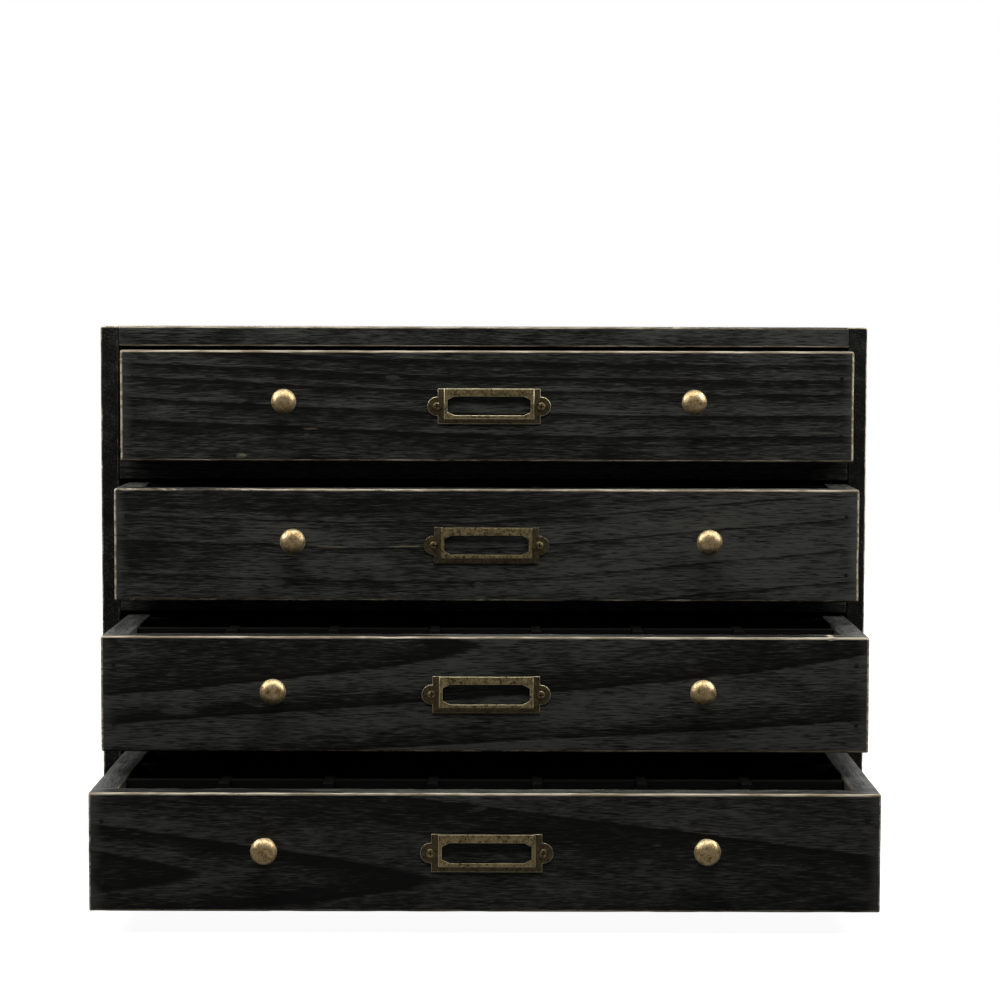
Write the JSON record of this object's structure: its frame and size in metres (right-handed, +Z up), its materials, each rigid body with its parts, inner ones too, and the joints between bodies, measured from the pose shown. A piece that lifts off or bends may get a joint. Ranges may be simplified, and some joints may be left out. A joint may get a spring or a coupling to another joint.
{
  "type": "jewelry armoire",
  "caption": "Tabletop jewelry armoire: nailed black wooden cabinet with stacked pull-out drawers, divider grids, domed bronze knobs and label frames.",
  "frame": {"origin": "centre of the cabinet's underside", "axes": "+X to the right seen from the front, -Y out of the front where the drawers open, +Z up"},
  "size_m": [0.38, 0.3765, 0.274],
  "materials": {
    "black_wood": "matte black stain, open grain, raw wood showing at worn edges",
    "black_plywood": "matte black stained plywood",
    "divider_wood": "matte black stain",
    "aged_bronze": "antique bronze plating, dark in the recesses, bright on worn edges",
    "dark_steel": "darkened steel"
  },
  "bodies": {
    "cabinet": {"left_side": "black_wood", "right_side": "black_wood", "top_board": "black_wood", "bottom_board": "black_wood", "back_panel": "black_plywood", "shelf_1": "black_wood", "shelf_2": "black_wood", "shelf_3": "black_wood", "carcass_nails": "dark_steel"},
    "drawer_1": {"drawer_1_front": "black_wood", "drawer_1_left_side": "black_wood", "drawer_1_right_side": "black_wood", "drawer_1_back": "black_wood", "drawer_1_bottom": "black_plywood", "drawer_1_long_strips": "divider_wood", "drawer_1_cross_strips": "divider_wood", "drawer_1_knobs": "aged_bronze", "drawer_1_knob_screws": "dark_steel", "drawer_1_label_frame": "aged_bronze", "drawer_1_label_screws": "aged_bronze", "drawer_1_nails": "dark_steel"},
    "drawer_2": {"drawer_2_front": "black_wood", "drawer_2_left_side": "black_wood", "drawer_2_right_side": "black_wood", "drawer_2_back": "black_wood", "drawer_2_bottom": "black_plywood", "drawer_2_long_strips": "divider_wood", "drawer_2_cross_strips": "divider_wood", "drawer_2_knobs": "aged_bronze", "drawer_2_knob_screws": "dark_steel", "drawer_2_label_frame": "aged_bronze", "drawer_2_label_screws": "aged_bronze", "drawer_2_nails": "dark_steel"},
    "drawer_3": {"drawer_3_front": "black_wood", "drawer_3_left_side": "black_wood", "drawer_3_right_side": "black_wood", "drawer_3_back": "black_wood", "drawer_3_bottom": "black_plywood", "drawer_3_long_strips": "divider_wood", "drawer_3_cross_strips": "divider_wood", "drawer_3_knobs": "aged_bronze", "drawer_3_knob_screws": "dark_steel", "drawer_3_label_frame": "aged_bronze", "drawer_3_label_screws": "aged_bronze", "drawer_3_nails": "dark_steel"},
    "drawer_4": {"drawer_4_front": "black_wood", "drawer_4_left_side": "black_wood", "drawer_4_right_side": "black_wood", "drawer_4_back": "black_wood", "drawer_4_bottom": "black_plywood", "drawer_4_long_strips": "divider_wood", "drawer_4_cross_strips": "divider_wood", "drawer_4_knobs": "aged_bronze", "drawer_4_knob_screws": "dark_steel", "drawer_4_label_frame": "aged_bronze", "drawer_4_label_screws": "aged_bronze", "drawer_4_nails": "dark_steel"}
  },
  "joints": [
    {"name": "drawer_1_slide", "type": "slide", "parent": "cabinet", "child": "drawer_1", "axis": [0, -1, 0], "range_m": [-0.0245, 0.1355]},
    {"name": "drawer_2_slide", "type": "slide", "parent": "cabinet", "child": "drawer_2", "axis": [0, -1, 0], "range_m": [-0.0485, 0.1115]},
    {"name": "drawer_3_slide", "type": "slide", "parent": "cabinet", "child": "drawer_3", "axis": [0, -1, 0], "range_m": [-0.093, 0.067]},
    {"name": "drawer_4_slide", "type": "slide", "parent": "cabinet", "child": "drawer_4", "axis": [0, -1, 0], "range_m": [-0.1355, 0.0245]}
  ]
}
